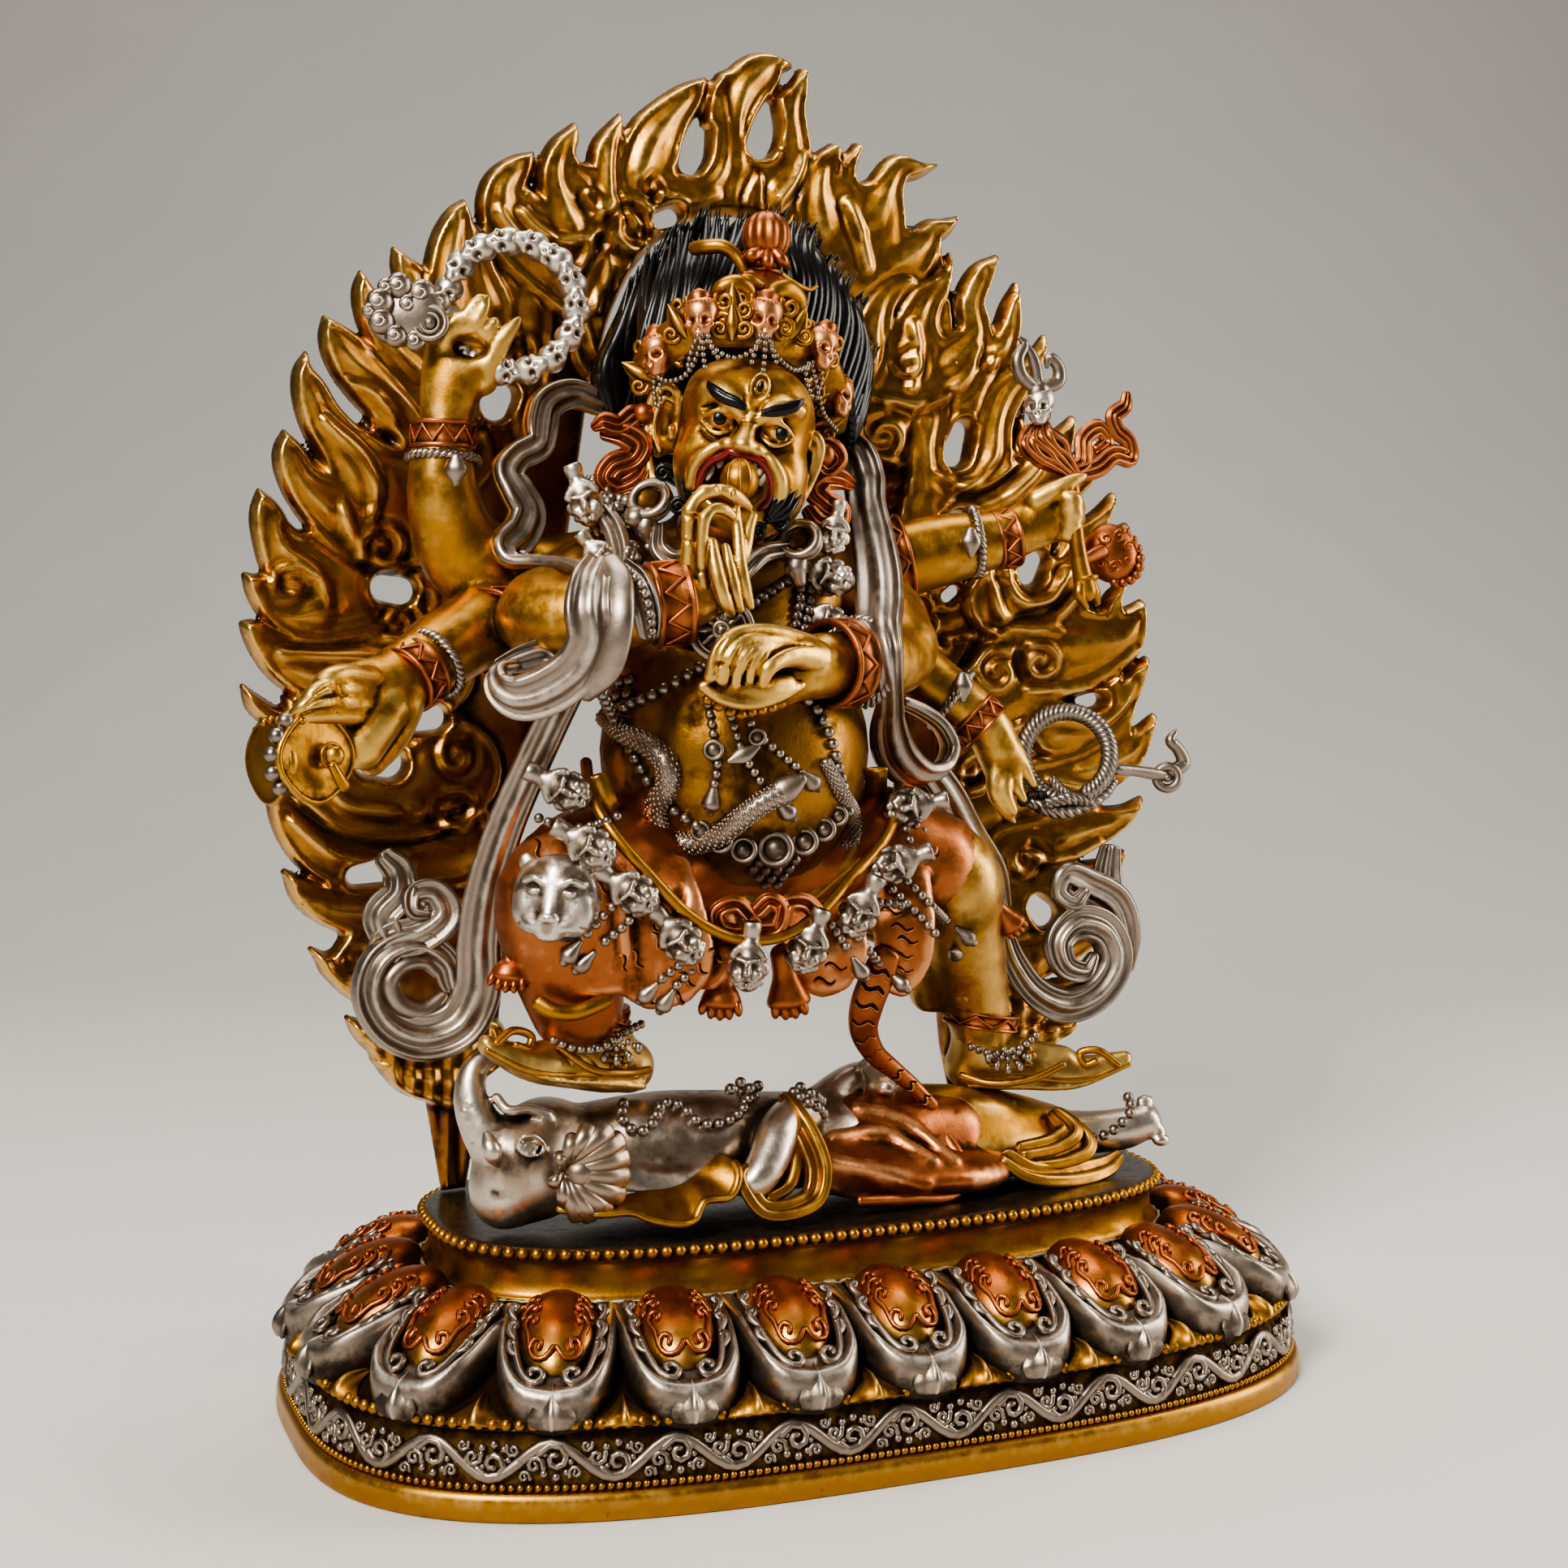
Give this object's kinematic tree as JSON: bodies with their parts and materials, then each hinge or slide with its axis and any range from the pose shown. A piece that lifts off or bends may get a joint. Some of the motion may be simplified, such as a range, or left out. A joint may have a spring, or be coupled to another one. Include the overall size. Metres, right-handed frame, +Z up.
{
  "type": "mahakala figure",
  "caption": "Wrathful many-armed protector figure before a pierced flame aureole, treading on a lying elephant-headed figure on an oval lotus plinth.",
  "frame": {"origin": "centre of the plinth's flat underside", "axes": "+Z up, +X to the right of someone who looks at the figure from the front, -Y towards them"},
  "size_m": [0.2625, 0.15, 0.3186],
  "materials": {
    "lotus_plinth": "satin gold casting with silver-edged copper petals, dark wash in the recesses and a glossy black deck",
    "flame_aureole": "satin gold casting with amber lacquer in the recesses",
    "mahakala": "satin gold casting with silver scarf and beads, copper tiger skin and skulls and glossy black hair",
    "trampled_figure": "satin silver-washed casting with copper and gold cloths",
    "trident_staff": "satin silver-washed prongs on a gold shaft with copper ribbons",
    "noose": "satin silver-washed rope"
  },
  "bodies": {
    "root": {"lotus_plinth": "lotus_plinth", "flame_aureole": "flame_aureole", "mahakala": "mahakala", "trampled_figure": "trampled_figure", "trident_staff": "trident_staff", "noose": "noose"}
  },
  "joints": []
}
